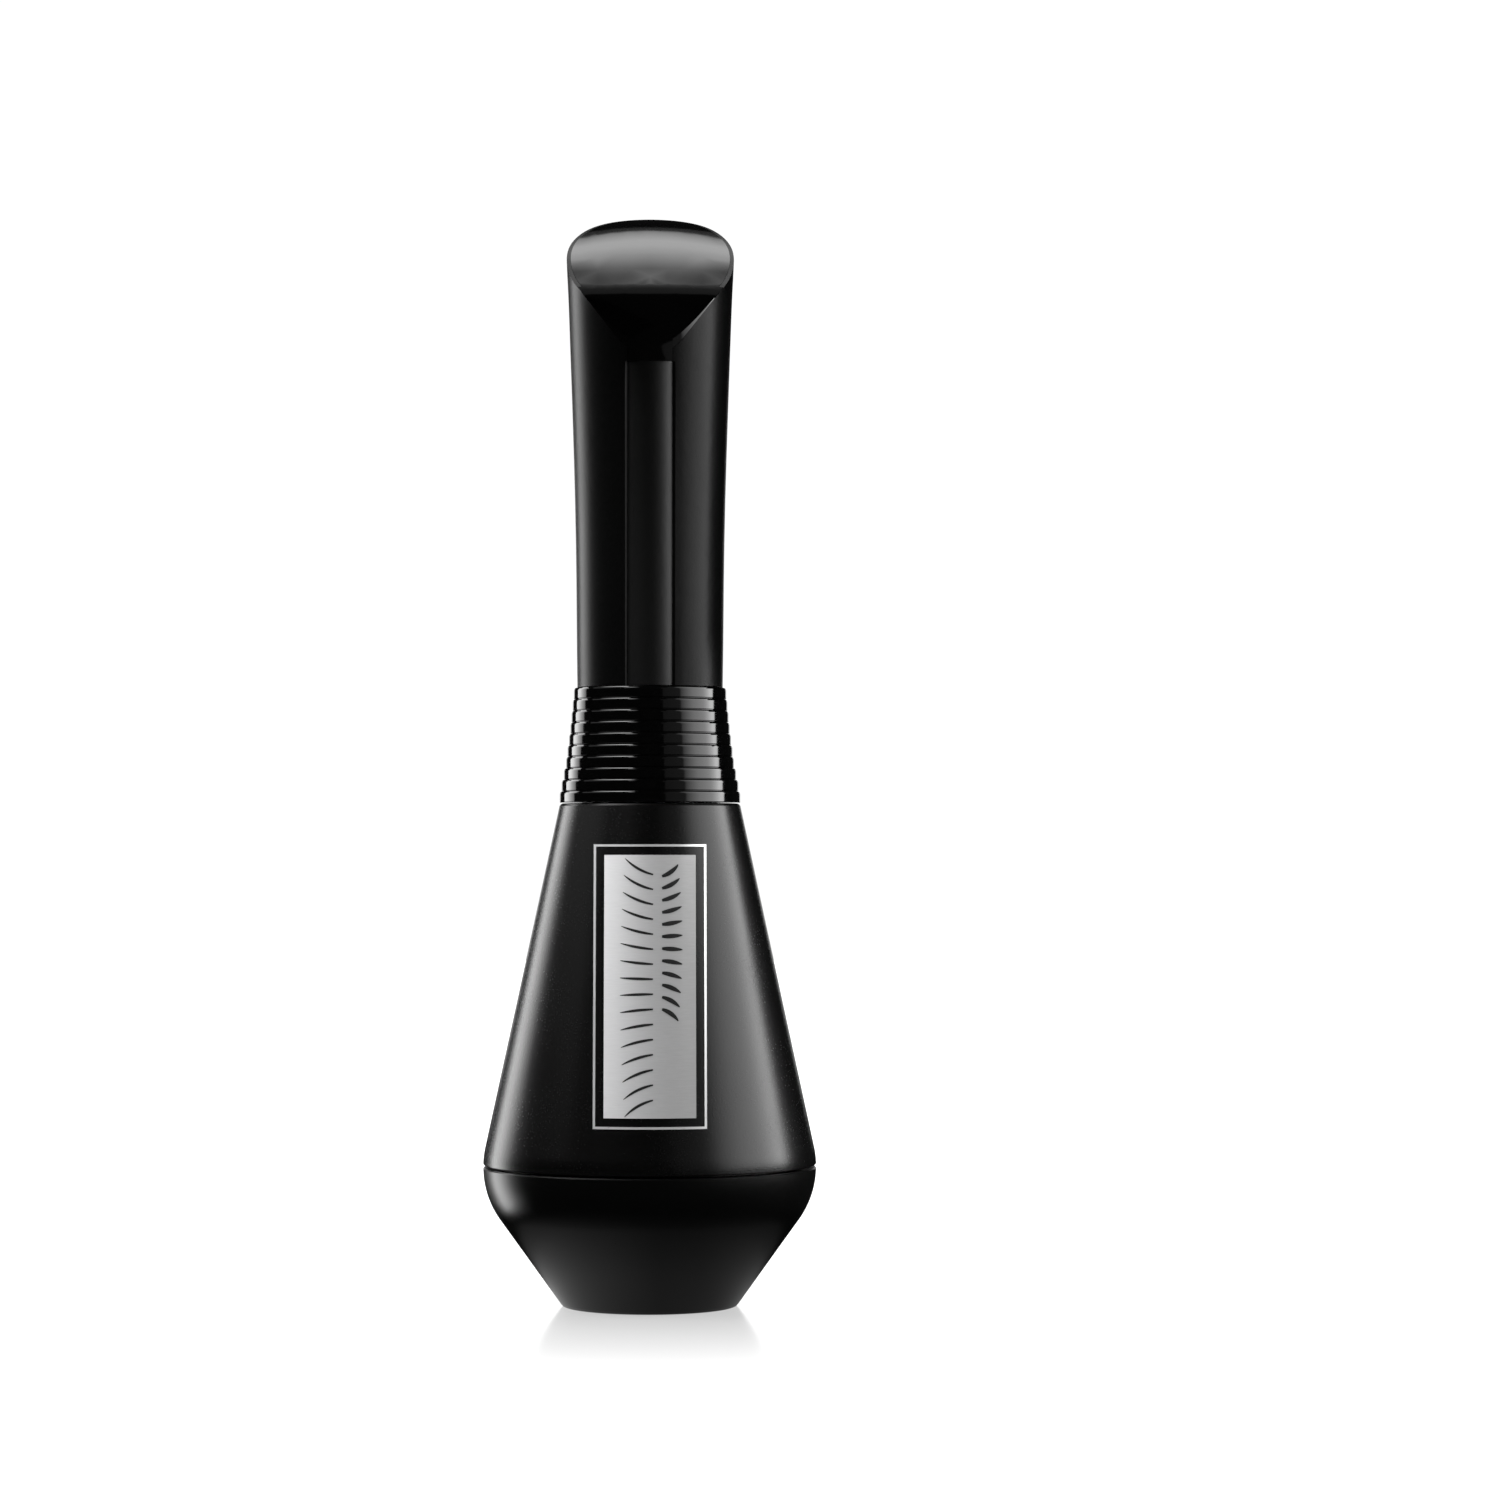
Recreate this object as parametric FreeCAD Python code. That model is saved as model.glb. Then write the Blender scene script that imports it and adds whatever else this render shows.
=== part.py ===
import FreeCAD, Part
import math
import os

# Mascara tube with a tilting handle. Millimetres, +Z up, the front faces -Y.
# The origin is the middle of the flat underside.

# Bottle
BASE_FOOT_R = 10.0
BASE_WIDE_R = 19.14
BASE_TOP_Z = 16.0
BASE_SLOPE = 0.719
BASE_ROUND_R = 10.3
BASE_WALL = 1.5
SEAM_GAP = 0.25
SKIRT_TOP_Z = 19.0
CASING_TOP_Z = 57.7
CASING_TOP_R = 10.38
CASING_TAPER = 0.217
CASING_ROUND_R = 8.8
CASING_WALL = 1.3
CASING_LIP = 0.8
VIAL_R = 8.4
VIAL_BORE_R = 7.5
VIAL_FLOOR_Z = 4.0
NECK_R = 5.9
NECK_BORE_R = 4.9
NECK_TOP_Z = 66.6
THREAD_PITCH = 2.7
THREAD_TURNS = 1.5
THREAD_CREST_R = 6.45
WIPER_FLANGE = 0.6
WIPER_HOLE_R = 2.46

# Label on the front of the casing
FOIL = 0.08
PANEL_HALF_W = 5.15
PANEL_LOW_Z = 22.6
PANEL_HIGH_Z = 51.8
LINE_HALF_W = 6.35
LINE_W = 0.26
LINE_LOW_Z = 21.4
LINE_HIGH_Z = 53.0

# Applicator
COLLAR_LOW_Z = 57.76
COLLAR_TOP_Z = 71.0
COLLAR_RADII = [10.42, 10.20, 9.94, 9.69, 9.52, 9.35, 9.19, 9.06, 8.93, 8.80]
COLLAR_SHOULDER_R = 0.22
COLLAR_SHOULDER_Z = 0.36
COLLAR_BORE_R = 7.9
INSERT_LOW_Z = 58.2
INSERT_BORE_R = 7.0
INSERT_CREST_R = 6.55
ROOF_LOW_Z = 68.0
ROOF_TOP_Z = 69.0
ROD_TOP_R = 2.39
ROD_END_R = 2.18
ROD_END_Z = 34.3
ROD_HEAD_R = 4.0
PLATE_LOW_Z = 69.6
CORE_R = 1.5
CORE_TIP_Z = 7.3
CORE_TOP_Z = 33.7
STEM_R = 1.3
ROW_COUNT = 33
ROW_PITCH = 0.765
FIRST_ROW_Z = 8.4
TEETH = 18

# Bending joint
BALL_R = 6.13
BALL_Z = 72.72
BALL_HALF_W = 3.0
STALK_R = 2.9
PIVOT_Y = 1.59
PIVOT_Z = 72.8
PIVOT_R = 1.72
PIN_R = 0.9
EAR_IN_X = 3.5
EAR_OUT_X = 4.9
EAR_R = 1.6

# Handle
HANDLE_SIDE = [
    (8.36, 70.0),
    (8.45, 76.6),
    (8.50, 82.3),
    (8.58, 88.1),
    (8.71, 93.9),
    (8.88, 99.6),
    (9.07, 105.4),
    (9.28, 111.2),
    (9.50, 116.9),
    (9.67, 120.4),
    (9.72, 123.5),
    (9.72, 128.0),
]
SHELL_WALL = 0.45
SHELL_BELOW_FACE = 0.22
SLOT_HALF_W = 2.6
STRIP_PROUD = 0.2
STRIP_CROWN = 0.9
FACE_LOW_Y = -9.40
FACE_LOW_Z = 107.8
FACE_CURVE = [
    (-9.42, 104.0, 0.035, 1.0),
    (-9.42, 106.0, 0.035, 1.0),
    (-9.42, 107.8, 0.038, 1.0),
    (-9.37, 108.8, 0.040, 1.0),
    (-9.17, 110.0, 0.031, 1.0),
    (-8.68, 111.6, 0.018, 1.0),
    (-7.55, 113.9, 0.0105, 0.6),
    (-5.83, 116.2, 0.0075, 0.25),
    (-3.53, 118.2, 0.0060, 0.1),
    (-1.22, 120.2, 0.0055, 0.1),
    (1.08, 122.2, 0.0065, 0.1),
    (3.96, 124.2, 0.0080, 0.1),
    (6.84, 125.75, 0.0090, 0.1),
    (8.86, 126.5, 0.0090, 0.1),
    (11.00, 127.1, 0.0090, 0.1),
    (14.00, 127.9, 0.0090, 0.1),
    (17.50, 128.6, 0.0090, 0.1),
]
ROUGH_TOP_Z = 128.0
RIM_GAP = 0.02
RIM_BACK_Y = -4.5
SLOT_BEVEL_W = 0.38
SLOT_BEVEL_DEPTH = 0.24
SLOT_EDGE_DEPTH = 0.6
BORE_R = 6.4
BORE_SHIFT = 0.55
PLUG_LOW_Z = 80.0
PLUG_TOP_Z = 86.0
BORE_TOP_Z = 102.0

UP = FreeCAD.Vector(0, 0, 1)
ACROSS = FreeCAD.Vector(1, 0, 0)


def side_point(radius, z):
    return FreeCAD.Vector(radius, 0, z)


def turned(points):
    """A solid turned about the axis from a closed outline of (radius, z)."""
    outline = [side_point(r, z) for r, z in points]
    outline.append(outline[0])
    face = Part.Face(Part.makePolygon(outline))
    return face.revolve(FreeCAD.Vector(0, 0, 0), UP, 360)


def rod_along_z(radius, low, high, y=0.0):
    return Part.makeCylinder(radius, high - low, FreeCAD.Vector(0, y, low), UP)


def tube(outer, inner, low, high):
    return rod_along_z(outer, low, high).cut(rod_along_z(inner, low, high))


def rod_along_x(radius, low, high, y, z):
    return Part.makeCylinder(radius, high - low, FreeCAD.Vector(low, y, z), ACROSS)


def block(x0, x1, y0, y1, z0, z1):
    corner = FreeCAD.Vector(x0, y0, z0)
    return Part.makeBox(x1 - x0, y1 - y0, z1 - z0, corner)


def arc_points(centre, radius, start, end, count):
    points = []
    for i in range(count + 1):
        angle = math.radians(start + (end - start) * i / count)
        r = centre[0] + radius * math.cos(angle)
        z = centre[1] + radius * math.sin(angle)
        points.append((r, z))
    return points


def base_side(inset):
    """Outside of the base cup from the foot to the seam, moved inward."""
    lean = math.atan(BASE_SLOPE)
    centre = (BASE_WIDE_R - BASE_ROUND_R, BASE_TOP_Z)
    arc = arc_points(centre, BASE_ROUND_R - inset, -math.degrees(lean), 0.0, 16)
    foot_r = BASE_FOOT_R - inset / math.cos(lean)
    return foot_r, arc


def make_base_cup():
    foot_r, arc = base_side(0.0)
    inner_r, inner_arc = base_side(BASE_WALL)
    floor = BASE_WALL
    outer = [(0.0, 0.0), (foot_r - 0.22, 0.0), (foot_r + 0.02, 0.09)]
    outer = outer + [(foot_r + 0.25, 0.35)] + arc[:-1]
    outer = outer + [(BASE_WIDE_R, BASE_TOP_Z - 0.15)]
    outer = outer + [(BASE_WIDE_R - 0.15, BASE_TOP_Z), (0.0, BASE_TOP_Z)]
    hollow = [(0.0, floor), (inner_r + floor * BASE_SLOPE, floor)] + inner_arc
    hollow = hollow + [(BASE_WIDE_R - BASE_WALL, BASE_TOP_Z + 1), (0.0, BASE_TOP_Z + 1)]
    cup = turned(outer).cut(turned(hollow))
    skirt_out = BASE_WIDE_R - CASING_WALL - 0.75
    skirt = tube(skirt_out, skirt_out - 1.0, BASE_TOP_Z - 3.0, SKIRT_TOP_Z)
    ledge = tube(BASE_WIDE_R - 1.0, skirt_out - 0.5, BASE_TOP_Z - 1.2, BASE_TOP_Z)
    cup = cup.fuse(skirt).fuse(ledge)
    seat = tube(VIAL_R + 1.1, VIAL_R + 0.03, floor - 0.2, 7.0)
    limit = turned([(0.0, 0.0), (foot_r, 0.0)] + arc + [(0.0, BASE_TOP_Z)])
    return cup.fuse(seat.common(limit)).removeSplitter()


def casing_side(inset):
    """Outside of the casing from the seam to the top, moved inward."""
    lean = math.degrees(math.atan(CASING_TAPER))
    centre = (BASE_WIDE_R - CASING_ROUND_R, BASE_TOP_Z + SEAM_GAP)
    arc = arc_points(centre, CASING_ROUND_R - inset, 0.0, lean, 8)
    return arc + [(CASING_TOP_R - inset * 1.02, CASING_TOP_Z)]


def casing_solid(grow):
    return turned([(0.0, BASE_TOP_Z + SEAM_GAP)] + casing_side(-grow) + [(0.0, CASING_TOP_Z)])


def make_casing():
    side = casing_side(0.0)
    low = side[0][1]
    top = [(CASING_TOP_R + 0.06, CASING_TOP_Z - 0.3), (CASING_TOP_R - 0.12, CASING_TOP_Z - 0.06)]
    top = top + [(CASING_TOP_R - 0.3, CASING_TOP_Z)]
    outer = [(0.0, low), (BASE_WIDE_R - 0.12, low), (BASE_WIDE_R, low + 0.12)]
    outer = outer + side[1:-1] + top + [(0.0, CASING_TOP_Z)]
    inner = casing_side(CASING_WALL)
    roof = CASING_TOP_Z - CASING_LIP
    inner_top = inner[-1][0] + CASING_LIP * CASING_TAPER
    hollow = [(0.0, low - 1), (inner[0][0], low - 1)] + inner[:-1]
    hollow = hollow + [(inner_top, roof), (0.0, roof)]
    shell = turned(outer).cut(turned(hollow))
    return shell.cut(rod_along_z(NECK_R + 0.65, roof - 1, CASING_TOP_Z + 1))


def thread_ridge(root_r, crest_r, low):
    """A helical ridge between two radii, one and a half turns long."""
    helix = Part.makeHelix(THREAD_PITCH, THREAD_PITCH * THREAD_TURNS, root_r)
    helix.translate(FreeCAD.Vector(0, 0, low))
    points = [
        side_point(root_r, low - 0.55),
        side_point(crest_r, low - 0.22),
        side_point(crest_r, low + 0.22),
        side_point(root_r, low + 0.55),
        side_point(root_r, low - 0.55),
    ]
    return Part.Wire(helix).makePipeShell([Part.makePolygon(points)], True, True)


def make_vial():
    shoulder = CASING_TOP_Z - CASING_LIP
    outer = [(0.0, BASE_WALL), (VIAL_R - 0.6, BASE_WALL), (VIAL_R, BASE_WALL + 0.6)]
    outer = outer + [(VIAL_R, shoulder - 1.0), (VIAL_R - 1.0, shoulder - 0.02)]
    outer = outer + [(NECK_R + 0.6, shoulder - 0.02), (NECK_R + 0.6, CASING_TOP_Z)]
    outer = outer + [(NECK_R, CASING_TOP_Z), (NECK_R, NECK_TOP_Z), (0.0, NECK_TOP_Z)]
    hollow = [(0.0, VIAL_FLOOR_Z), (VIAL_BORE_R - 2.0, VIAL_FLOOR_Z)]
    hollow = hollow + [(VIAL_BORE_R, VIAL_FLOOR_Z + 2.0), (VIAL_BORE_R, shoulder - 2.6)]
    hollow = hollow + [(NECK_BORE_R, shoulder), (NECK_BORE_R, NECK_TOP_Z + 1)]
    hollow = hollow + [(0.0, NECK_TOP_Z + 1)]
    vial = turned(outer).cut(turned(hollow))
    ridge = thread_ridge(NECK_R - 0.2, THREAD_CREST_R, 60.2)
    return vial.fuse(ridge).removeSplitter()


def make_wiper():
    """Flanged sleeve in the neck with a lip that wipes the rod."""
    top = NECK_TOP_Z + WIPER_FLANGE
    lip = 55.4
    outline = [
        (WIPER_HOLE_R, lip),
        (WIPER_HOLE_R + 0.5, lip - 0.4),
        (NECK_BORE_R - 0.6, lip + 3.2),
        (NECK_BORE_R, lip + 4.6),
        (NECK_BORE_R, NECK_TOP_Z),
        (NECK_R, NECK_TOP_Z),
        (NECK_R, top - 0.15),
        (NECK_R - 0.15, top),
        (NECK_BORE_R - 0.4, top),
        (NECK_BORE_R - 0.7, top - 0.4),
        (NECK_BORE_R - 0.7, lip + 4.8),
        (WIPER_HOLE_R, lip + 0.5),
    ]
    return turned(outline)


def foil_patch(half_w, low, high):
    """A thin patch lying on the front of the casing."""
    skin = casing_solid(FOIL).cut(casing_solid(0.0))
    return skin.common(block(-half_w, half_w, -BASE_WIDE_R - 1, 0.0, low, high))


def make_label_panel():
    return foil_patch(PANEL_HALF_W, PANEL_LOW_Z, PANEL_HIGH_Z)


def make_label_line():
    outer = foil_patch(LINE_HALF_W, LINE_LOW_Z, LINE_HIGH_Z)
    inside = LINE_HALF_W - LINE_W
    low = LINE_LOW_Z + LINE_W
    high = LINE_HIGH_Z - LINE_W
    return outer.cut(block(-inside, inside, -BASE_WIDE_R - 1, 0.0, low, high))


def make_gasket():
    low = NECK_TOP_Z + WIPER_FLANGE + 0.05
    return tube(6.2, 2.6, low, ROOF_LOW_Z - 0.05)


def make_collar():
    """Ten stepped rings that narrow towards the handle."""
    pitch = (COLLAR_TOP_Z - COLLAR_LOW_Z) / len(COLLAR_RADII)
    outline = [(0.0, COLLAR_LOW_Z)]
    for i, radius in enumerate(COLLAR_RADII):
        low = COLLAR_LOW_Z + i * pitch
        high = low + pitch
        if i:
            outline.append((radius - 0.08, low))
        outline.append((radius - 0.08, low + 0.04))
        outline.append((radius, low + 0.12))
        for step in range(6):
            turn = math.radians(18 * step)
            r = radius - COLLAR_SHOULDER_R * (1 - math.cos(turn))
            outline.append((r, high - COLLAR_SHOULDER_Z * (1 - math.sin(turn))))
    outline.append((0.0, COLLAR_TOP_Z))
    collar = turned(outline)
    collar = collar.cut(rod_along_z(COLLAR_BORE_R, COLLAR_LOW_Z - 1, PLATE_LOW_Z))
    return collar.cut(rod_along_z(STALK_R, PLATE_LOW_Z - 1, COLLAR_TOP_Z + 1))


def make_thread_insert():
    """Inner cap that screws onto the neck and carries the rod."""
    body = rod_along_z(COLLAR_BORE_R, INSERT_LOW_Z, ROOF_TOP_Z)
    body = body.cut(rod_along_z(INSERT_BORE_R, INSERT_LOW_Z - 1, ROOF_LOW_Z))
    ridge = thread_ridge(INSERT_BORE_R + 0.2, INSERT_CREST_R, 60.2 + THREAD_PITCH / 2)
    body = body.fuse(ridge)
    return body.cut(rod_along_z(ROD_TOP_R, INSERT_LOW_Z - 1, ROOF_TOP_Z + 1))


def make_rod():
    outline = [
        (0.0, ROD_END_Z),
        (ROD_END_R - 0.14, ROD_END_Z),
        (ROD_END_R, ROD_END_Z + 0.3),
        (2.245, ROD_END_Z + 8.0),
        (ROD_TOP_R, CASING_TOP_Z),
        (ROD_TOP_R, ROOF_TOP_Z),
        (ROD_HEAD_R, ROOF_TOP_Z),
        (ROD_HEAD_R, PLATE_LOW_Z - 0.05),
        (0.0, PLATE_LOW_Z - 0.05),
    ]
    return turned(outline).cut(rod_along_z(STEM_R, ROD_END_Z - 1, 41.0))


def make_brush_core():
    outline = [(0.0, CORE_TIP_Z), (0.85, CORE_TIP_Z)]
    outline = outline + arc_points((0.85, CORE_TIP_Z + 0.65), 0.65, -67.5, 0.0, 4)
    outline = outline + [(CORE_R, CORE_TOP_Z - 0.4), (STEM_R, CORE_TOP_Z)]
    outline = outline + [(STEM_R, 40.6), (STEM_R - 0.3, 40.9), (0.0, 40.9)]
    return turned(outline)


def row_radius(row):
    """Reach of a row of bristles, counted from the tip of the brush."""
    if row <= 8:
        reach = 2.95
    elif row <= 30:
        reach = 2.95 + (4.88 - 2.95) * (row - 8) / 22
    elif row == 31:
        reach = 4.32
    else:
        reach = 2.9
    return reach - 0.12 * (row % 2)


def bristle_row(row):
    """One thin moulded ring with pointed teeth."""
    z = FIRST_ROW_Z + row * ROW_PITCH
    reach = row_radius(row)
    step = 360.0 / TEETH
    turn = step / 2 * (row % 2)
    corners = []
    for i in range(TEETH):
        middle = turn + i * step
        for radius, width in ((1.62, -0.22), (reach, -0.06), (reach, 0.06), (1.62, 0.22)):
            angle = math.radians(middle) + width / radius
            x = radius * math.cos(angle)
            y = radius * math.sin(angle)
            corners.append(FreeCAD.Vector(x, y, z - 0.15))
    corners.append(corners[0])
    star = Part.Face(Part.makePolygon(corners)).extrude(FreeCAD.Vector(0, 0, 0.3))
    return star.cut(rod_along_z(CORE_R, z - 1, z + 1))


def make_bristles():
    return Part.makeCompound([bristle_row(row) for row in range(ROW_COUNT)])


def handle_underside(lift):
    """All that lies below the flat and the sloping end of the handle."""
    reach = PIVOT_R - lift
    arc = arc_points((PIVOT_Y, PIVOT_Z), reach, -90.0, -45.0, 8)
    last = arc[-1]
    points = [(-30.0, PIVOT_Z - reach)] + arc
    points = points + [(last[0] + 30.0, last[1] + 30.0), (60.0, 60.0), (-30.0, 60.0)]
    outline = [FreeCAD.Vector(-15, y, z) for y, z in points]
    outline.append(outline[0])
    return Part.Face(Part.makePolygon(outline)).extrude(FreeCAD.Vector(30, 0, 0))


def make_knuckle():
    """Ball with flat cheeks; its stalk is held by the collar's top."""
    ball = Part.makeSphere(BALL_R, FreeCAD.Vector(0, 0, BALL_Z))
    floor = COLLAR_TOP_Z + 0.02
    ball = ball.cut(block(-9, 9, -9, 9, 60, floor))
    hidden = block(-12, 12, -12, 12, 60, 90).cut(handle_underside(-0.05))
    for side in (-1, 1):
        low = min(side * BALL_HALF_W, side * 12)
        cheek = block(low, low + 12 - BALL_HALF_W, -12, 12, floor, 90)
        ball = ball.cut(cheek.common(hidden))
    ball = ball.fuse(rod_along_z(STALK_R, PLATE_LOW_Z, floor + 0.5))
    ball = ball.cut(rod_along_x(PIN_R + 0.05, -9, 9, PIVOT_Y, PIVOT_Z))
    return ball.removeSplitter()


def handle_round(inset, low, high):
    """The handle's flared round body, moved inward."""
    curve = Part.BSplineCurve()
    curve.interpolate([side_point(r - inset, z) for r, z in HANDLE_SIDE])
    side = curve.toShape()
    first = HANDLE_SIDE[0]
    last = HANDLE_SIDE[-1]
    bottom = Part.makeLine(side_point(0, first[1]), side_point(first[0] - inset, first[1]))
    top = Part.makeLine(side_point(last[0] - inset, last[1]), side_point(0, last[1]))
    middle = Part.makeLine(side_point(0, last[1]), side_point(0, first[1]))
    face = Part.Face(Part.Wire([bottom, side, top, middle]))
    body = face.revolve(FreeCAD.Vector(0, 0, 0), UP, 360)
    return body.common(block(-12, 12, -12, 12, low, high))


def above_face(drop):
    """All that lies over the slanting, slightly crowned top of the handle."""
    grid = []
    for before, here, after in zip(FACE_CURVE, FACE_CURVE[1:], FACE_CURVE[2:]):
        y, z, crown, share = here
        rise_y, rise_z = after[0] - before[0], after[1] - before[1]
        length = math.hypot(rise_y, rise_z)
        row = []
        for x in (-12, -8, -4, 0, 4, 8, 12):
            inward = drop * share + crown * x * x
            in_y, in_z = inward * rise_z / length, inward * rise_y / length
            row.append(FreeCAD.Vector(x, y + in_y, z - in_z))
        grid.append(row)
    surface = Part.BSplineSurface()
    surface.interpolate(grid)
    return surface.toShape().extrude(FreeCAD.Vector(0, -30, 30))


def front_line():
    """Line down the handle's front, just proud of it, with its lowest point."""
    points = []
    for r, z in HANDLE_SIDE[:7]:
        points.append(FreeCAD.Vector(0, -r - STRIP_PROUD, z))
    points.append(FreeCAD.Vector(0, FACE_LOW_Y, FACE_LOW_Z))
    curve = Part.BSplineCurve()
    curve.interpolate(points)
    return Part.Wire(curve.toShape()), points[0]


def make_slot_bevel():
    """Bar with slanting sides that takes the corners off the slot."""
    line, start = front_line()
    low = SLOT_EDGE_DEPTH + SLOT_BEVEL_DEPTH
    spread = low * SLOT_BEVEL_W / SLOT_BEVEL_DEPTH
    corners = []
    for side in (-1, 1):
        inner = start.add(FreeCAD.Vector(side * SLOT_HALF_W, low, 0))
        outer = start.add(FreeCAD.Vector(side * (SLOT_HALF_W + spread), 0, 0))
        corners += [inner, outer][::-side]
    return line.makePipeShell([Part.makePolygon(corners + corners[:1])], True, False)


def make_handle_shell():
    """Thin sleeve with a slot down its front."""
    shell = handle_round(0.0, 70.5, ROUGH_TOP_Z)
    shell = shell.cut(handle_round(SHELL_WALL, 70.0, ROUGH_TOP_Z))
    shell = shell.cut(block(-SLOT_HALF_W, SLOT_HALF_W, -12, 0, 60, 140))
    shell = shell.cut(make_slot_bevel())
    shell = shell.cut(above_face(SHELL_BELOW_FACE))
    return shell.cut(handle_underside(0.0))


def make_strip():
    """Bar with a rounded front that fills the slot up to the face."""
    half = SLOT_HALF_W - 0.06
    line, start = front_line()
    left = start.add(FreeCAD.Vector(-half, STRIP_CROWN, 0))
    right = start.add(FreeCAD.Vector(half, STRIP_CROWN, 0))
    back_right = start.add(FreeCAD.Vector(half, 2.0, 0))
    back_left = start.add(FreeCAD.Vector(-half, 2.0, 0))
    front = Part.Arc(left, start, right).toShape()
    sides = Part.makePolygon([right, back_right, back_left, left])
    outline = Part.Wire([front] + sides.Edges)
    return line.makePipeShell([outline], True, False)


def make_handle_core():
    """Glossy inner part: front strip, slanting face and the joint's pocket."""
    core = handle_round(SHELL_WALL + 0.02, 70.5, ROUGH_TOP_Z)
    rim = handle_round(0.0, 106.0, ROUGH_TOP_Z).common(above_face(SHELL_BELOW_FACE - RIM_GAP))
    rim = rim.common(block(-12, 12, -12, RIM_BACK_Y, 106, 130))
    core = core.fuse(rim).fuse(make_strip())
    half = SLOT_HALF_W - 0.06
    core = core.fuse(block(-half, half, FACE_LOW_Y, -7.3, FACE_LOW_Z, 118.0))
    core = core.cut(above_face(0.0))
    core = core.cut(handle_underside(0.0))
    core = core.cut(rod_along_z(BORE_R, 60, BORE_TOP_Z))
    core = core.cut(rod_along_z(BORE_R, 60, PLUG_LOW_Z, BORE_SHIFT))
    return core


def make_yoke():
    """Plug with two ears that hang down beside the ball."""
    yoke = rod_along_z(BORE_R, PLUG_LOW_Z, PLUG_TOP_Z)
    for side in (-1, 1):
        low = min(side * EAR_IN_X, side * EAR_OUT_X)
        high = low + EAR_OUT_X - EAR_IN_X
        ear = block(low, high, PIVOT_Y - EAR_R, PIVOT_Y + EAR_R, PIVOT_Z, PLUG_LOW_Z + 0.5)
        ear = ear.fuse(rod_along_x(EAR_R, low, high, PIVOT_Y, PIVOT_Z))
        yoke = yoke.fuse(ear)
    yoke = yoke.cut(rod_along_x(PIN_R, -9, 9, PIVOT_Y, PIVOT_Z))
    return yoke.removeSplitter()


def make_hinge_pin():
    return rod_along_x(PIN_R, -5.1, 5.1, PIVOT_Y, PIVOT_Z)


def make_washer(side):
    low = BALL_HALF_W + 0.05
    high = EAR_IN_X - 0.02
    if side < 0:
        low, high = -high, -low
    ring = rod_along_x(EAR_R - 0.05, low, high, PIVOT_Y, PIVOT_Z)
    return ring.cut(rod_along_x(PIN_R + 0.03, low - 1, high + 1, PIVOT_Y, PIVOT_Z))


os.makedirs("parts", exist_ok=True)

PARTS = {
    "base_cup": make_base_cup(),
    "casing": make_casing(),
    "vial": make_vial(),
    "wiper": make_wiper(),
    "label_panel": make_label_panel(),
    "label_line": make_label_line(),
    "gasket": make_gasket(),
    "collar": make_collar(),
    "thread_insert": make_thread_insert(),
    "rod": make_rod(),
    "brush_core": make_brush_core(),
    "bristles": make_bristles(),
    "knuckle": make_knuckle(),
    "handle_shell": make_handle_shell(),
    "handle_core": make_handle_core(),
    "yoke": make_yoke(),
    "hinge_pin": make_hinge_pin(),
    "washer_left": make_washer(-1),
    "washer_right": make_washer(1),
}

for name, shape in PARTS.items():
    shape.exportStep("parts/" + name + ".step")
    print(name, shape.isValid(), len(shape.Solids), round(shape.Volume, 1))
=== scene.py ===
import math
import random

import bmesh
import bpy
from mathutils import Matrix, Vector
from mathutils.bvhtree import BVHTree


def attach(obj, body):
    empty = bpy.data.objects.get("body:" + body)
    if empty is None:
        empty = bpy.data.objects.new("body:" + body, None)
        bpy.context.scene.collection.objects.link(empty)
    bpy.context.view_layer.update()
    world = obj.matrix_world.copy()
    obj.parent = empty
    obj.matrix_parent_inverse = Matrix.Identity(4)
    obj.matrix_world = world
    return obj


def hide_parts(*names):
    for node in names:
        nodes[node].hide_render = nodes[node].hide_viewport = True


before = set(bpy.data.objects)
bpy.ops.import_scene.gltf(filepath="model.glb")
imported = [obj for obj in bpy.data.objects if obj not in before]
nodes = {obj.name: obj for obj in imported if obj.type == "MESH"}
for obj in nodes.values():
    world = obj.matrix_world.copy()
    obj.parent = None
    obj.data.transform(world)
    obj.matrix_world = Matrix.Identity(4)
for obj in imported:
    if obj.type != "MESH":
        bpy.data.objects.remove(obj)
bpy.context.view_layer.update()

MM = 0.001


class Reading:
    """A number that changes over a surface; sums on it add Math nodes."""

    def __init__(self, finish, socket):
        self.finish = finish
        self.socket = socket

    def sum_with(self, operation, first, second):
        return self.finish.add("ShaderNodeMath", {"operation": operation}, {0: first, 1: second})

    def __add__(self, other):
        return self.sum_with("ADD", self, other)

    __radd__ = __add__

    def __sub__(self, other):
        return self.sum_with("SUBTRACT", self, other)

    def __rsub__(self, other):
        return self.sum_with("SUBTRACT", other, self)

    def __mul__(self, other):
        return self.sum_with("MULTIPLY", self, other)

    __rmul__ = __mul__

    def swing(self, amount):
        """Its rise and fall about one half, scaled."""
        return (self - 0.5) * amount


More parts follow.
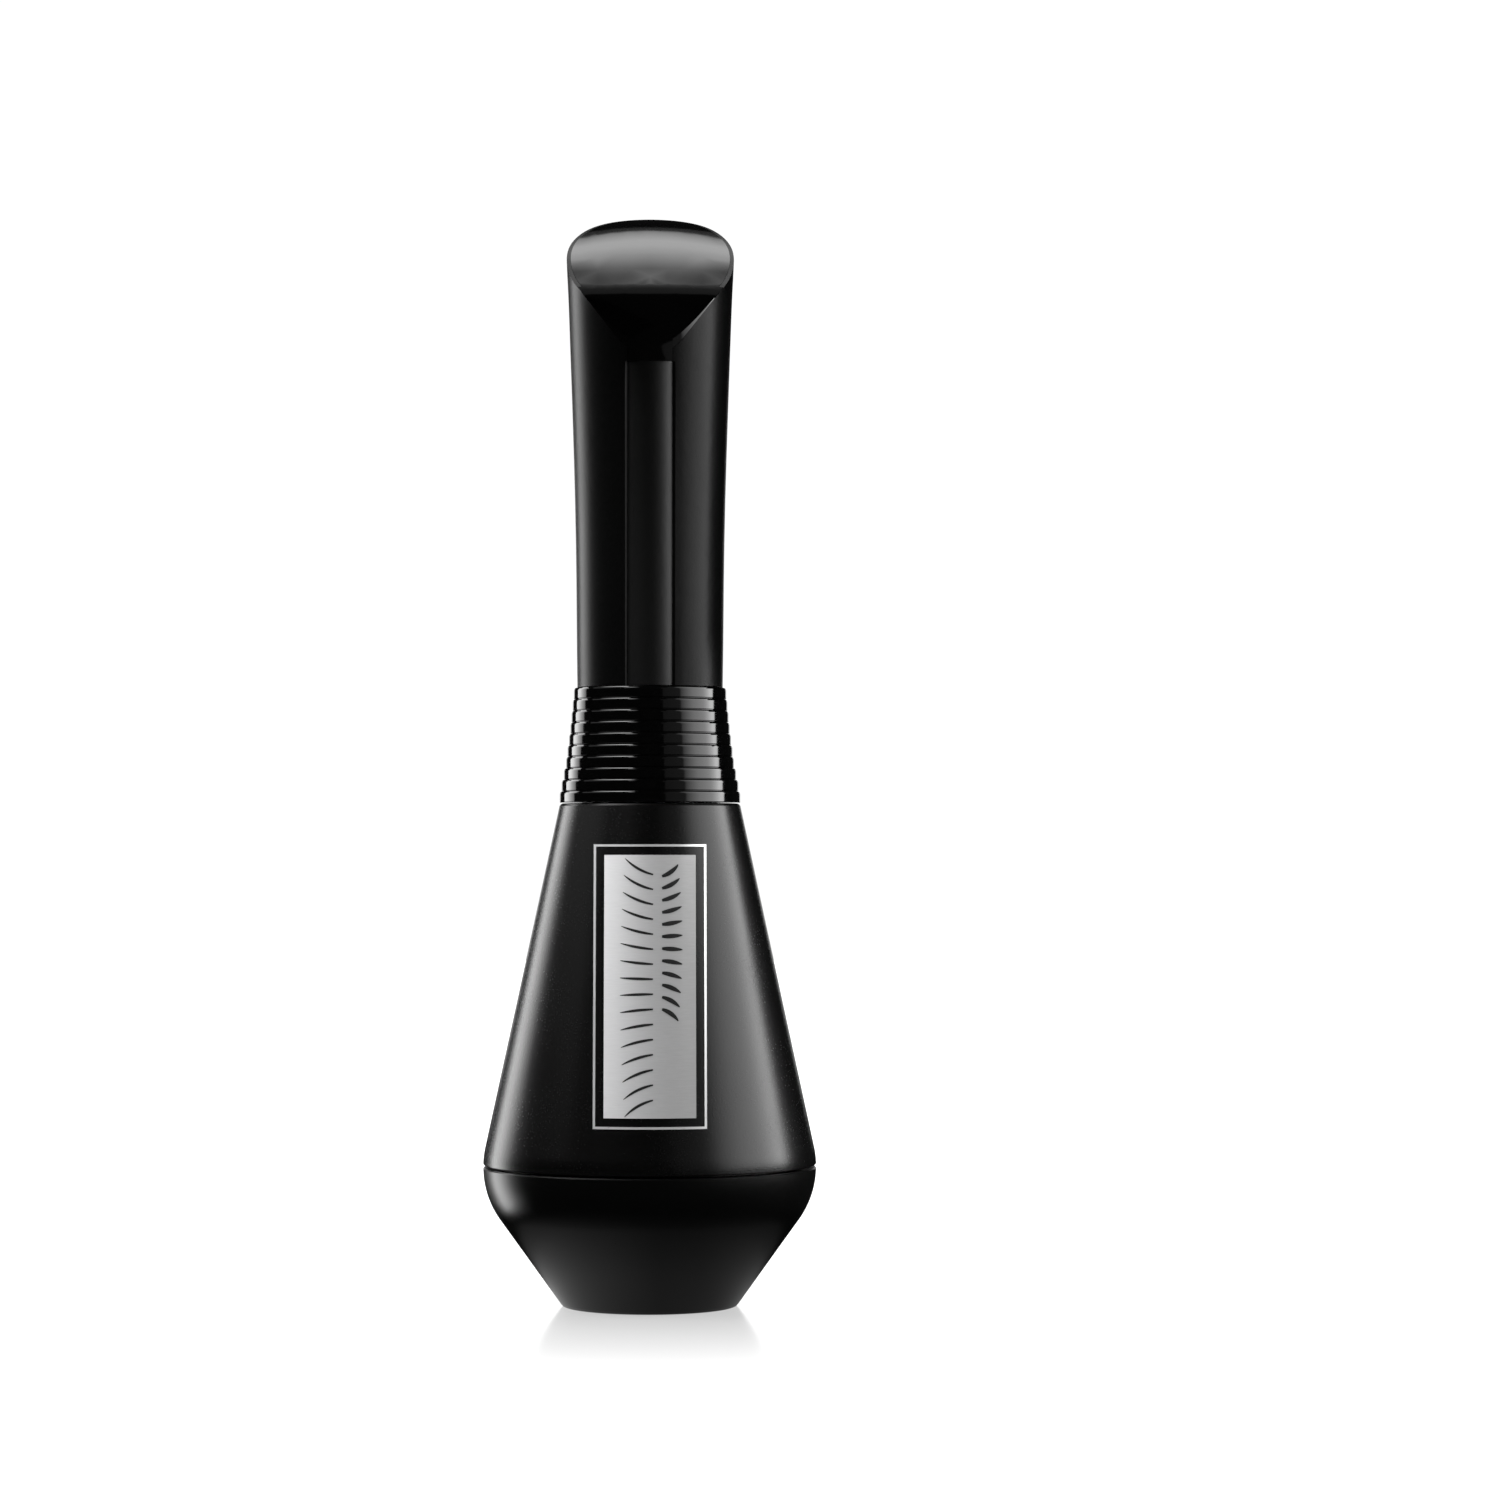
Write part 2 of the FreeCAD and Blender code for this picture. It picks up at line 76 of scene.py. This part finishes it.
class Finish:
    """A surface finish and the nodes that make it."""

    def __init__(self, name):
        self.material = bpy.data.materials.new(name)
        self.material.use_nodes = True
        self.tree = self.material.node_tree
        self.tree.nodes.clear()
        self.output = self.tree.nodes.new("ShaderNodeOutputMaterial")

    def add(self, kind, settings=None, sockets=None, out=0):
        """A node of a kind: settings first, then its sockets; gives one output."""
        node = self.tree.nodes.new(kind)
        for key, value in (settings or {}).items():
            if key == "stops":
                ramp = node.color_ramp
                while len(ramp.elements) < len(value):
                    ramp.elements.new(0.5)
                for element, (position, shade) in zip(ramp.elements, value):
                    element.position = position
                    element.color = (shade, shade, shade, 1)
            else:
                setattr(node, key, value)
        for key, value in (sockets or {}).items():
            if isinstance(value, Reading):
                self.tree.links.new(value.socket, node.inputs[key])
            else:
                node.inputs[key].default_value = value
        return Reading(self, node.outputs[out])

    def ramp(self, stops, level):
        """Shade picked from (position, shade) stops by a level from 0 to 1."""
        return self.add("ShaderNodeValToRGB", {"stops": stops}, {"Fac": level})

    def place(self, stretch=(1, 1, 1)):
        """Position on the object in metres, stretched along each axis."""
        spot = self.add("ShaderNodeTexCoord", out=3)
        return self.add("ShaderNodeMapping", None, {"Vector": spot, "Scale": stretch})

    def part(self, spot, axis):
        """One coordinate of a position: axis 0, 1 or 2."""
        return self.add("ShaderNodeSeparateXYZ", None, {"Vector": spot}, out=axis)

    def grain(self, scale, detail=2.0, roughness=0.5, stretch=(1, 1, 1)):
        sockets = {"Vector": self.place(stretch), "Scale": scale, "Detail": detail}
        sockets["Roughness"] = roughness
        return self.add("ShaderNodeTexNoise", None, sockets)

    def shade_between(self, factor, low, high):
        settings = {"data_type": "RGBA"}
        sockets = {0: factor, 6: (*low, 1), 7: (*high, 1)}
        return self.add("ShaderNodeMix", settings, sockets, out=2)

    def relief(self, height, strength, distance):
        sockets = {"Height": height, "Strength": strength, "Distance": distance}
        return self.add("ShaderNodeBump", None, sockets)

    def surface(self, **sockets):
        named = {key.replace("_", " "): value for key, value in sockets.items()}
        shader = self.add("ShaderNodeBsdfPrincipled", None, named)
        self.tree.links.new(shader.socket, self.output.inputs["Surface"])
        return self.material

    def glow(self, colour, strength):
        shader = self.add("ShaderNodeEmission", None, {"Color": colour, "Strength": strength})
        self.tree.links.new(shader.socket, self.output.inputs["Surface"])
        return self.material


def grey(level, tint=0.0):
    """A grey; the tint makes it a little bluer."""
    return (level, level, level * (1 + tint))


def soft_touch_lacquer(name, roughness, specular):
    """Matte rubbery lacquer with a fine mineral grain."""
    finish = Finish(name)
    fine = finish.grain(4600.0)
    cloud = finish.grain(160.0)
    colour = finish.shade_between(fine, grey(0.0004), grey(0.002))
    rough = roughness + fine.swing(0.12) + cloud.swing(0.05)
    normal = finish.relief(fine, 0.45, 0.00002)
    return finish.surface(
        Base_Color=colour, Roughness=rough, Normal=normal, Specular_IOR_Level=specular
    )


def polished_black(name, roughness):
    """High-gloss black plastic with faint flow marks."""
    finish = Finish(name)
    flow = finish.grain(90.0)
    speck = finish.grain(1500.0)
    colour = finish.shade_between(speck, grey(0.0003), grey(0.0012))
    rough = roughness + flow.swing(0.04) + speck.swing(0.02)
    normal = finish.relief(flow, 0.02, 0.0002)
    return finish.surface(Base_Color=colour, Roughness=rough, Normal=normal)


# The handle's core: heights in metres; the face is a little hollow between the dish heights

STRIP_TOP = 0.1078
STRIP_ROUGHNESS = 0.42
FACE_ROUGHNESS = 0.08
DULLING = [(0.0, STRIP_ROUGHNESS), (0.5, STRIP_ROUGHNESS), (0.52, FACE_ROUGHNESS)]
DULLING_PER_METRE = 50.0
DULLING_MIDDLE = 0.51
DISH_LOW = 0.1130
DISH_HIGH = 0.1222
DISH_DEPTH = 0.0005
DISH_WAVINESS = 0.004


def handle_gloss(name):
    """Polished slanting face; the strip below it is a little duller."""
    finish = Finish(name)
    flow = finish.grain(90.0)
    height = finish.part(finish.place(), 2)
    rough = finish.ramp(DULLING, (height - STRIP_TOP) * DULLING_PER_METRE + DULLING_MIDDLE)
    colour = finish.shade_between(flow, grey(0.0003), grey(0.0012))
    sockets = {"Value": height, "From Min": DISH_LOW, "From Max": DISH_HIGH}
    dish = finish.add("ShaderNodeMapRange", {"interpolation_type": "SMOOTHERSTEP"}, sockets)
    normal = finish.relief(dish + flow * DISH_WAVINESS, 1.0, DISH_DEPTH)
    return finish.surface(Base_Color=colour, Roughness=rough + flow.swing(0.03), Normal=normal)


def satin_black(name):
    """Smooth satin plastic of the base cup."""
    finish = Finish(name)
    flow = finish.grain(120.0, 3.0)
    fine = finish.grain(5200.0)
    colour = finish.shade_between(fine, grey(0.0004), grey(0.0012))
    rough = 0.29 + flow.swing(0.06) + fine.swing(0.04)
    normal = finish.relief(flow, 0.03, 0.0001)
    return finish.surface(
        Base_Color=colour, Roughness=rough, Normal=normal, Specular_IOR_Level=0.35
    )


# The foil's painted reflection, light on the left and greyer to the right: its left side's
# distance from the axis in metres, and shades per metre

FOIL_PAINTED_REFLECTION_LEFT = 0.0055
FOIL_PAINTED_REFLECTION_SPREAD = 95.0


def silver_foil(name, roughness, right_painted_shade):
    """Hot-stamped foil with very fine drawn lines; its colour holds a painted reflection, light
    on its left side and greyer towards its right side.
    """
    finish = Finish(name)
    drawn = finish.grain(700.0, 3.0, 0.6, (1, 1, 9))
    cloud = finish.grain(140.0)
    across = finish.part(finish.place(), 0)
    # Painted reflection: the foil's colour runs from light on its left side to the darker shade
    # on its right side.
    level = (across + FOIL_PAINTED_REFLECTION_LEFT) * FOIL_PAINTED_REFLECTION_SPREAD + drawn.swing(0.2)
    colour = finish.shade_between(level, grey(0.86, 0.01), grey(right_painted_shade))
    rough = roughness + drawn.swing(0.12) + cloud.swing(0.05)
    normal = finish.relief(drawn, 0.06, 0.00002)
    return finish.surface(Base_Color=colour, Metallic=0.7, Roughness=rough, Normal=normal)


def print_ink(name):
    """Dark matte ink of the label's strokes."""
    finish = Finish(name)
    fine = finish.grain(6000.0)
    colour = finish.shade_between(fine, grey(0.004), grey(0.012))
    return finish.surface(Base_Color=colour, Roughness=0.4 + fine.swing(0.1))


def moulded(name, low, high, roughness, grain=900.0, relief=0.1):
    """Plain moulded part: two close shades, even grain."""
    finish = Finish(name)
    fine = finish.grain(grain, 3.0)
    colour = finish.shade_between(fine, low, high)
    rough = roughness + fine.swing(0.15)
    normal = finish.relief(fine, relief, 0.00004)
    return finish.surface(Base_Color=colour, Roughness=rough, Normal=normal)


def stained(name, clean, stain, roughness):
    """Pale plastic with smears of dried mascara."""
    finish = Finish(name)
    smear = finish.grain(260.0, 4.0, 0.6, (1, 1, 0.35))
    mask = finish.ramp([(0.46, 0.0), (0.66, 1.0)], smear)
    colour = finish.shade_between(mask, clean, stain)
    rough = roughness - mask * 0.15
    normal = finish.relief(smear, 0.15, 0.0001)
    return finish.surface(Base_Color=colour, Roughness=rough, Normal=normal)


def drawn_steel(name):
    """Bright pin steel with lines around it."""
    finish = Finish(name)
    lines = finish.grain(800.0, 2.0, 0.5, (12, 1, 1))
    colour = finish.shade_between(lines, grey(0.5), grey(0.64))
    return finish.surface(Base_Color=colour, Metallic=1.0, Roughness=0.25 + lines * 0.15)


def dress(node, material):
    mesh = nodes[node].data
    mesh.materials.clear()
    mesh.materials.append(material)


casing_lacquer = soft_touch_lacquer("casing_lacquer", 0.25, 0.36)
sleeve_lacquer = soft_touch_lacquer("sleeve_lacquer", 0.33, 0.15)
gloss = polished_black("polished_black", 0.07)
core_gloss = handle_gloss("handle_gloss")
cup_satin = satin_black("cup_satin")
# Both foils carry the painted reflection; the last number is the grey it reaches on the right.
foil = silver_foil("silver_foil", 0.5, 0.42)
frame_foil = silver_foil("frame_foil", 0.3, 0.8)
inner_black = moulded("inner_black", grey(0.006), grey(0.016), 0.5)
brush_black = moulded("brush_black", grey(0.004), grey(0.012), 0.42, 2400.0, 0.2)
vial_plastic = stained("vial_plastic", (0.52, 0.53, 0.54), grey(0.012), 0.4)
wiper_rubber = stained("wiper_rubber", (0.62, 0.61, 0.6), grey(0.01), 0.5)
liner_foam = moulded("liner_foam", grey(0.5), grey(0.68), 0.7, 2600.0, 0.5)
washer_rubber = moulded("washer_rubber", grey(0.01), grey(0.03), 0.6)
pin_steel = drawn_steel("pin_steel")

for node, material in {
    "base_cup": cup_satin,
    "casing": casing_lacquer,
    "vial": vial_plastic,
    "wiper": wiper_rubber,
    "label_panel": foil,
    "label_line": frame_foil,
    "gasket": liner_foam,
    "collar": gloss,
    "thread_insert": inner_black,
    "rod": gloss,
    "brush_core": brush_black,
    "bristles": brush_black,
    "knuckle": gloss,
    "handle_shell": sleeve_lacquer,
    "handle_core": core_gloss,
    "yoke": inner_black,
    "hinge_pin": pin_steel,
    "washer_left": washer_rubber,
    "washer_right": washer_rubber,
}.items():
    dress(node, material)


def placed(name, mesh, material):
    """An object in the scene with one material."""
    thing = bpy.data.objects.new(name, mesh)
    bpy.context.scene.collection.objects.link(thing)
    mesh.materials.append(material)
    return thing


def new_piece(name, mesh, body, material):
    piece = placed(name, mesh, material)
    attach(piece, body)
    return piece


def closed_mesh(name, shape):
    """Mesh from a finished shape, with its faces turned outwards."""
    mesh = bpy.data.meshes.new(name)
    bmesh.ops.recalc_face_normals(shape, faces=shape.faces)
    shape.to_mesh(mesh)
    shape.free()
    return mesh


# Brush: rows of pointed bristles, leaning a little at random; sizes in mm

ROWS = 33
FIRST_ROW_Z = 8.4
ROW_PITCH = 0.765
LAST_SLIM_ROW = 8
LAST_FLARED_ROW = 30
SLIM_REACH = 2.92
FLARE = 1.93
SHOULDER_REACH = 4.3
TOP_REACH = 2.88
ODD_ROW_DROP = 0.14
SPIKES = 20
SPIKE_SIDES = 6
SPIKE_RINGS = ((0.0, 0.26), (0.12, 0.19), (0.5, 0.14), (0.85, 0.09), (1.0, 0.05))
SPIKE_ROOT_R = 1.35
TURN_PLAY = 0.02
TIP_PLAY = 0.16
LEAN_PLAY = 0.12


def row_reach(row):
    """Reach of a row from the brush's axis; row 0 is at the tip."""
    if row <= LAST_SLIM_ROW:
        return SLIM_REACH
    if row <= LAST_FLARED_ROW:
        return SLIM_REACH + FLARE * (row - LAST_SLIM_ROW) / (LAST_FLARED_ROW - LAST_SLIM_ROW)
    return SHOULDER_REACH if row == LAST_FLARED_ROW + 1 else TOP_REACH


def add_spike(mesh, base_z, angle, reach, lean, sway):
    """One tapering bristle standing out from the core."""
    out = Vector((math.cos(angle), math.sin(angle), 0))
    side = Vector((-math.sin(angle), math.cos(angle), 0))
    up = Vector((0, 0, 1))
    rings = []
    for share, radius in SPIKE_RINGS:
        length = SPIKE_ROOT_R + (reach - SPIKE_ROOT_R) * share
        bend = share * share
        centre = out * length + up * (base_z + lean * bend) + side * sway * bend
        ring = []
        for i in range(SPIKE_SIDES):
            turn = 2 * math.pi * i / SPIKE_SIDES
            rim = side * math.cos(turn) + up * math.sin(turn)
            ring.append(mesh.verts.new((centre + rim * radius) * MM))
        rings.append(ring)
    for low, high in zip(rings, rings[1:]):
        for i in range(SPIKE_SIDES):
            j = (i + 1) % SPIKE_SIDES
            mesh.faces.new((low[i], low[j], high[j], high[i]))
    mesh.faces.new(rings[-1])
    mesh.faces.new(list(reversed(rings[0])))


def make_bristles():
    """All rows of the brush, every second row turned by half a gap."""
    chance = random.Random(7)
    shape = bmesh.new()
    for row in range(ROWS):
        reach = row_reach(row) - ODD_ROW_DROP * (row % 2)
        offset = math.pi / SPIKES * (row % 2)
        for i in range(SPIKES):
            play = chance.uniform(-TURN_PLAY, TURN_PLAY)
            angle = offset + 2 * math.pi * i / SPIKES + play
            tip = reach - chance.uniform(0.0, TIP_PLAY)
            lean = chance.uniform(-LEAN_PLAY, LEAN_PLAY)
            sway = chance.uniform(-LEAN_PLAY, LEAN_PLAY)
            add_spike(shape, FIRST_ROW_Z + row * ROW_PITCH, angle, tip, lean, sway)
    mesh = closed_mesh("brush_bristles", shape)
    mesh.polygons.foreach_set("use_smooth", [True] * len(mesh.polygons))
    piece = new_piece("brush_bristles", mesh, "applicator", brush_black)
    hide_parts("bristles")


make_bristles()


# Label: two columns of fine curved strokes, like lashes, printed on the foil; sizes in mm

INK_RISE = 0.03
INK_DEPTH = 0.02
CAST_FROM_Y = -50.0
BLUNT_END = 0.18
STROKE_STEPS = 14
LONG_STROKES = {
    "count": 16, "low_z": 24.6, "span": 25.0, "x": 0.35, "length": 3.7, "width": 0.3,
    "lean": 24, "heading": 180, "lean_share": 0.6, "curl_share": 1.4,
}
SHORT_STROKES = {
    "count": 12, "low_z": 34.6, "span": 14.8, "x": 1.35, "length": 2.3, "width": 0.5,
    "lean": 30, "heading": 0, "lean_share": -0.6, "curl_share": -1.3,
}


def panel_surface():
    """The panel's faces, ready for casting points onto them."""
    mesh = nodes["label_panel"].data
    corners = [v.co.copy() for v in mesh.vertices]
    return BVHTree.FromPolygons(corners, [list(p.vertices) for p in mesh.polygons])


def on_panel(tree, x, z):
    """Point on the panel's outside, in metres, from x and z in mm."""
    start = Vector((x, CAST_FROM_Y, z)) * MM
    hit = tree.ray_cast(start, Vector((0, 1, 0)))[0]
    return hit + Vector((0, -INK_RISE * MM, 0))


def stroke_line(root, length, angle, curl):
    """Points of a stroke that leaves its root at an angle and curls along its length."""
    x, z = root
    heading = math.radians(angle)
    points = [(x, z)]
    for _ in range(STROKE_STEPS):
        x += math.cos(heading) * length / STROKE_STEPS
        z += math.sin(heading) * length / STROKE_STEPS
        heading += math.radians(curl) / STROKE_STEPS
        points.append((x, z))
    return points


def add_stroke(shape, tree, points, width):
    """A thin closed ribbon of ink that swells and tapers."""
    last = len(points) - 1
    rails = []
    for i, (x, z) in enumerate(points):
        before = points[max(i - 1, 0)]
        after = points[min(i + 1, last)]
        dx, dz = after[0] - before[0], after[1] - before[1]
        size = math.hypot(dx, dz)
        belly = math.sin(math.pi * min(1.0, 0.12 + 0.88 * i / last)) ** 0.8
        swell = BLUNT_END + (1 - BLUNT_END) * belly
        half = 0.5 * width * swell
        across = (-dz / size * half, dx / size * half)
        corners = []
        for sign in (-1, 1):
            spot = on_panel(tree, x + sign * across[0], z + sign * across[1])
            corners.append(shape.verts.new(spot))
            corners.append(shape.verts.new(spot + Vector((0, INK_DEPTH * MM, 0))))
        rails.append(corners)
    for a, b in zip(rails, rails[1:]):
        shape.faces.new((a[0], a[2], b[2], b[0]))
        shape.faces.new((a[1], b[1], b[3], a[3]))
        shape.faces.new((a[0], b[0], b[1], a[1]))
        shape.faces.new((a[2], a[3], b[3], b[2]))
    for end in (rails[0], rails[-1]):
        shape.faces.new((end[0], end[1], end[3], end[2]))


def add_column(shape, tree, column):
    """Strokes above one another that fan out from the middle of the column."""
    last = column["count"] - 1
    for i in range(column["count"]):
        root = (column["x"], column["low_z"] + column["span"] * i / last)
        lean = column["lean"] - 2 * column["lean"] * i / last
        angle = column["heading"] + lean * column["lean_share"]
        points = stroke_line(root, column["length"], angle, lean * column["curl_share"])
        add_stroke(shape, tree, points, column["width"])


def make_label_strokes():
    tree = panel_surface()
    shape = bmesh.new()
    add_column(shape, tree, LONG_STROKES)
    add_column(shape, tree, SHORT_STROKES)
    mesh = closed_mesh("label_strokes", shape)
    new_piece("label_strokes", mesh, "bottle", print_ink("print_ink"))


make_label_strokes()


# Studio

TARGET = Vector((0, 0, 0.062))


def toward(azimuth, elevation):
    """Direction from the object: azimuth 0 is the camera's side, 90 the right."""
    a = math.radians(azimuth)
    e = math.radians(elevation)
    return Vector((math.sin(a) * math.cos(e), -math.cos(a) * math.cos(e), math.sin(e)))


def sheet_mesh(name, width, height):
    """A flat sheet in its own XY plane."""
    shape = bmesh.new()
    bmesh.ops.create_grid(shape, x_segments=1, y_segments=1, size=0.5)
    for vert in shape.verts:
        vert.co.x *= width
        vert.co.y *= height
    mesh = bpy.data.meshes.new(name)
    shape.to_mesh(mesh)
    shape.free()
    return mesh


def softbox(name, aim, distance, size, stops, peak, along=0):
    """Glowing panel; its brightness follows the stops along one of its sides.

    The aim is its azimuth and elevation from the target, in degrees.
    """
    finish = Finish(name)
    spot = finish.add("ShaderNodeTexCoord", out=0)
    shade = finish.ramp(stops, finish.part(spot, along))
    panel = placed(name, sheet_mesh(name, *size), finish.glow(shade, peak))
    panel.location = TARGET + toward(*aim) * distance
    panel.rotation_euler = (-toward(*aim)).to_track_quat("Z", "Y").to_euler()
    panel.visible_camera = False
    return panel


RIGHT_STOPS = [
    (0.0, 0.5), (0.04, 0.9), (0.12, 1.0), (0.3, 0.56), (0.48, 0.42),
    (0.58, 0.24), (0.65, 0.11), (0.67, 0.024), (1.0, 0.016),
]
FILL_STOPS = [(0.0, 0.6), (0.5, 1.0), (1.0, 0.9)]
LEFT_STOPS = [(0.0, 0.3), (0.25, 0.6), (0.6, 1.0), (1.0, 0.9)]
OVERHEAD_STOPS = [
    (0.0, 0.03), (0.1, 0.03), (0.12, 0.3), (0.2, 0.55), (0.3, 0.85), (0.42, 1.0),
    (0.57, 0.95), (0.63, 0.57), (0.68, 0.25), (0.71, 0.12), (0.8, 0.05), (1.0, 0.04),
]
LENS_STOPS = [(0.0, 0.0), (0.3, 0.6), (0.5, 1.0), (0.7, 0.6), (1.0, 0.0)]
BLACK = [(0.0, 0.0)]
WHITE = [(0.0, 1.0)]
RIGHT_FLAG_Z = 0.107
BROW_FLAG_TARGET = Vector((0.0, -0.009, 0.113))


def make_lights():
    """Panels all round: sides, a dim fill, one overhead and one above the front left."""
    softbox("right_panel", (64.0, 20.0), 0.62, (1.3, 0.5), RIGHT_STOPS, 8.0)
    softbox("left_fill", (-80.0, 27.0), 0.66, (0.46, 0.28), FILL_STOPS, 0.6)
    softbox("left_strip", (-126.0, 2.0), 0.62, (0.3, 0.72), LEFT_STOPS, 5.2)
    softbox("overhead", (180.0, 73.0), 0.7, (0.9, 0.6), OVERHEAD_STOPS, 4.0, along=1)
    softbox("front_left_top", (-58.0, 50.0), 0.7, (0.84, 0.32), LENS_STOPS, 9.5)


def make_flags():
    """Black cards beside the handle that keep two highlights short."""
    right = softbox("right_flag", (108.0, 0.0), 0.034, (0.022, 0.062), BLACK, 0.0)
    right.location.z = RIGHT_FLAG_Z
    brow = softbox("brow_flag", (-58.0, 50.0), 0.04, (0.056, 0.03), BLACK, 0.0)
    brow.location += BROW_FLAG_TARGET - TARGET


GLOW_FADE = [(0.0, 1.0), (0.25, 0.85), (0.4, 0.5), (0.6, 0.15), (1.0, 0.0)]
GLOW_SIDES = [(0.0, 1.0), (0.3, 0.5), (0.52, 0.2), (0.66, 0.2), (1.0, 0.42)]
GLOW_R = 0.028
GLOW_SHEET = 0.07
GLOW_SHEET_Z = -0.0006
GLOW_PEAK = 1.5


def radius_squared(finish):
    """Square of the distance from the object's axis, and the sideways place."""
    spot = finish.place()
    across = finish.part(spot, 0)
    along = finish.part(spot, 1)
    return across * across + along * along, across


def make_floor_glow():
    """Soft light that the underside of the cup picks up from the table."""
    finish = Finish("floor_glow")
    far, across = radius_squared(finish)
    fade = finish.ramp(GLOW_FADE, far * (1 / GLOW_R ** 2))
    side = finish.ramp(GLOW_SIDES, across * (0.5 / GLOW_R) + 0.5)
    sheet = sheet_mesh("floor_glow", GLOW_SHEET, GLOW_SHEET)
    card = placed("floor_glow", sheet, finish.glow(fade * side, GLOW_PEAK))
    card.location.z = GLOW_SHEET_Z
    card.visible_camera = False
    card.visible_diffuse = False
    card.visible_shadow = False


LOW_CARD_Y = 1.505
LOW_CARD_Z = 0.13


def make_low_card():
    """White strip behind the backdrop, seen only as the table's far sheen."""
    card = softbox("low_card", (180.0, 0.0), LOW_CARD_Y, (1.0, 0.26), WHITE, 1.0)
    card.location.z = LOW_CARD_Z


# Floor: its own glow grows with the square of the distance from the object's axis, so a painted
# shade darkens it near the object

FLOOR_SIZE = 8
FLOOR_GLOW_PAINTED_SHADE = [(0.0, 0.5), (0.0004, 0.6), (0.0016, 0.78), (0.0042, 0.95), (0.012, 1.0)]


def make_floor():
    """Pale, slightly glossy table top with a painted shade that darkens it only near the object.
    """
    finish = Finish("pale_floor")
    cloud = finish.grain(3.0)
    far = radius_squared(finish)[0]
    material = finish.surface(
        Base_Color=finish.shade_between(cloud, grey(0.24), grey(0.28)),
        Roughness=0.13 + cloud.swing(0.04),
        # Painted shade: the floor's glow is dimmer close to the object's axis.
        Emission_Color=finish.ramp(FLOOR_GLOW_PAINTED_SHADE, far),
        Emission_Strength=1.0,
    )
    floor = placed("floor", sheet_mesh("floor", FLOOR_SIZE, FLOOR_SIZE), material)
    floor.visible_glossy = False


BACKDROP_SIZE = (2.6, 2.4)
BACKDROP_AT = (0, 1.5, 1.0)
SEEN_WHITE = 1.05
REFLECTED_ROOM = 0.008
ROOM_FILL = 0.35


def make_backdrop():
    """White wall behind the table."""
    finish = Finish("white_backdrop")
    cloud = finish.grain(1.5)
    colour = finish.shade_between(cloud, grey(0.98), grey(1.0))
    sheet = sheet_mesh("backdrop", *BACKDROP_SIZE)
    wall = placed("backdrop", sheet, finish.glow(colour, SEEN_WHITE))
    wall.location = BACKDROP_AT
    wall.rotation_euler = (math.radians(90), 0, 0)
    wall.visible_glossy = False


def make_world():
    """White room for the lens, dim for reflections, soft fill for matte parts."""
    world = bpy.data.worlds.new("studio")
    bpy.context.scene.world = world
    world.use_nodes = True
    tree = world.node_tree
    tree.nodes.clear()
    path = tree.nodes.new("ShaderNodeLightPath")

    def room(strength):
        light = tree.nodes.new("ShaderNodeBackground")
        light.inputs["Color"].default_value = (1, 1, 1, 1)
        light.inputs["Strength"].default_value = strength
        return light.outputs[0]

    def choose(ray, otherwise, light):
        mix = tree.nodes.new("ShaderNodeMixShader")
        for socket, source in zip(mix.inputs, (path.outputs[ray], otherwise, light)):
            tree.links.new(source, socket)
        return mix.outputs[0]

    soft = choose("Is Diffuse Ray", room(REFLECTED_ROOM), room(ROOM_FILL))
    seen = choose("Is Camera Ray", soft, room(SEEN_WHITE))
    output = tree.nodes.new("ShaderNodeOutputWorld")
    tree.links.new(seen, output.inputs["Surface"])


LENS_MM = 100.3
SENSOR_MM = 36.0
CAMERA_AT = (0, -0.482, 0.0524)
CAMERA_TILT = 90 + 1.365
CAMERA_YAW = -1.37


def make_camera():
    """Long lens in front of the object, tilted a little upwards."""
    lens = bpy.data.cameras.new("camera")
    lens.lens = LENS_MM
    lens.sensor_width = SENSOR_MM
    camera = bpy.data.objects.new("camera", lens)
    bpy.context.scene.collection.objects.link(camera)
    camera.location = CAMERA_AT
    camera.rotation_euler = (math.radians(CAMERA_TILT), 0, math.radians(CAMERA_YAW))
    bpy.context.scene.camera = camera


make_lights()
make_floor()
make_floor_glow()
make_low_card()
make_flags()
make_backdrop()
make_world()
make_camera()
bpy.context.scene.view_settings.view_transform = "Standard"
